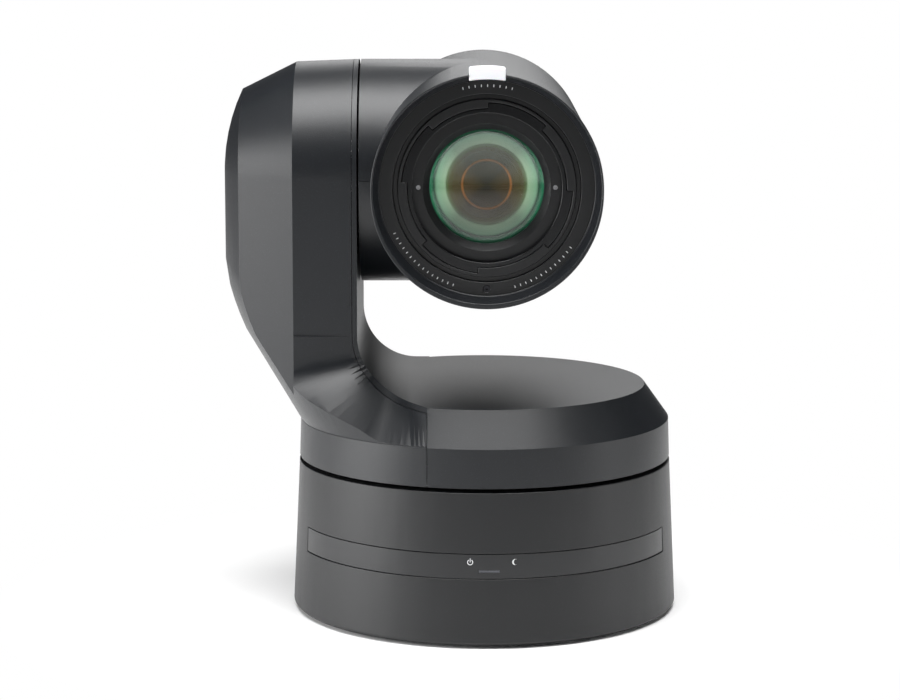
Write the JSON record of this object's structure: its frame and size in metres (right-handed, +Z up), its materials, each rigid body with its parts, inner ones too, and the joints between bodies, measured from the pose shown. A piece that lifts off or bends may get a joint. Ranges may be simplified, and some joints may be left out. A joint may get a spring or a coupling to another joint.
{
  "type": "ptz camera",
  "caption": "Pan-tilt-zoom camera: round base with a turning unit, one side arm and a cylindrical lens head that tilts on it.",
  "frame": {"origin": "centre of the tripod thread at the level that the feet stand on, on the pan axis", "axes": "+Z up along the pan axis; the lens looks along -Y at rest; the arm is on the -X side"},
  "size_m": [0.2176, 0.2041, 0.2645],
  "materials": {
    "housing": "fine-grained matte moulding",
    "covers": "fine-grained matte moulding",
    "strip": "smoked, semi-gloss",
    "lens_trim": "satin black",
    "lamp": "white diffuser",
    "glass": "coated",
    "metal": "machined",
    "steel": "zinc plated",
    "dark_steel": "black oxide",
    "connector": "nickel plated",
    "black_plastic": "matte",
    "rubber": "matte",
    "board": "solder mask",
    "gold": "contacts",
    "led": "clear light pipe"
  },
  "bodies": {
    "base": {"base_housing": "housing", "base_plate": "metal", "rubber_feet": "rubber", "base_screws": "dark_steel", "front_strip": "strip", "status_led": "led", "indicator_board": "board", "rear_panel": "black_plastic", "sdi_sockets": "connector", "hdmi_socket": "connector", "network_sockets": "connector", "power_socket": "black_plastic", "audio_socket": "black_plastic", "main_board": "board", "pan_bearing": "steel", "pan_motor_bracket": "steel", "pan_motor": "steel", "pan_belt": "rubber", "fan_frame": "black_plastic"},
    "pan_motor_shaft": {"pan_motor_pulley": "metal"},
    "fan": {"fan_rotor": "black_plastic"},
    "turning_unit": {"turntable": "metal", "slip_ring": "gold", "pan_cover": "covers", "arm_cover": "covers", "arm_frame": "metal", "arm_board": "board", "tilt_bearing": "steel", "tilt_motor": "steel", "tilt_belt": "rubber", "cover_screws": "dark_steel"},
    "tilt_motor_shaft": {"tilt_motor_pulley": "metal"},
    "head": {"head_upper_shell": "covers", "head_lower_shell": "covers", "head_rear_cover": "covers", "rear_cover_screws": "dark_steel", "tilt_shaft": "metal", "tilt_pulley": "metal", "front_rim": "lens_trim", "lens_bezel": "lens_trim", "bayonet_ring": "lens_trim", "inner_ring": "lens_trim", "lens_ring": "lens_trim", "lens_ring_screws": "steel", "bezel_screw": "dark_steel", "front_lens": "glass", "lens_mount": "metal", "lens_tube": "black_plastic", "lens_motors": "steel", "iris_ring": "black_plastic", "rear_lens": "glass", "nd_wheel_axle": "steel", "image_sensor": "board", "sensor_board": "board", "heat_sink": "metal", "tally_lamp": "lamp"},
    "focus_cell": {"focus_group": "glass"},
    "zoom_cell": {"zoom_group": "glass"},
    "nd_wheel": {"nd_filter_wheel": "black_plastic"}
  },
  "joints": [
    {"name": "pan", "type": "hinge", "parent": "base", "child": "turning_unit", "pos_m": [0, 0, 0.074], "axis": [0, 0, 1], "range_deg": [-175, 175]},
    {"name": "tilt", "type": "hinge", "parent": "turning_unit", "child": "head", "pos_m": [0, 0.02, 0.2083], "axis": [-1, 0, 0], "range_deg": [-30, 210]},
    {"name": "pan_motor_spin", "type": "hinge", "parent": "base", "child": "pan_motor_shaft", "pos_m": [0.062, 0, 0.0495], "axis": [0, 0, 1], "range_deg": [-701, 701]},
    {"name": "tilt_motor_spin", "type": "hinge", "parent": "turning_unit", "child": "tilt_motor_shaft", "pos_m": [-0.0809, 0.02, 0.1483], "axis": [-1, 0, 0], "range_deg": [-101, 701]},
    {"name": "fan_spin", "type": "hinge", "parent": "base", "child": "fan", "pos_m": [-0.046, 0, 0.027], "axis": [0, 0, 1], "continuous": true},
    {"name": "zoom_slide", "type": "slide", "parent": "head", "child": "zoom_cell", "axis": [0, 1, 0], "range_m": [-0.009, 0.009]},
    {"name": "focus_slide", "type": "slide", "parent": "head", "child": "focus_cell", "axis": [0, 1, 0], "range_m": [-0.004, 0.004]},
    {"name": "nd_wheel_turn", "type": "hinge", "parent": "head", "child": "nd_wheel", "pos_m": [0, 0.0366, 0.1915], "axis": [0, 1, 0], "range_deg": [0, 270]}
  ],
  "couplings": [
    {"joint": "pan_motor_spin", "follows": "pan", "ratio": 4},
    {"joint": "tilt_motor_spin", "follows": "tilt", "ratio": 3.3333}
  ]
}
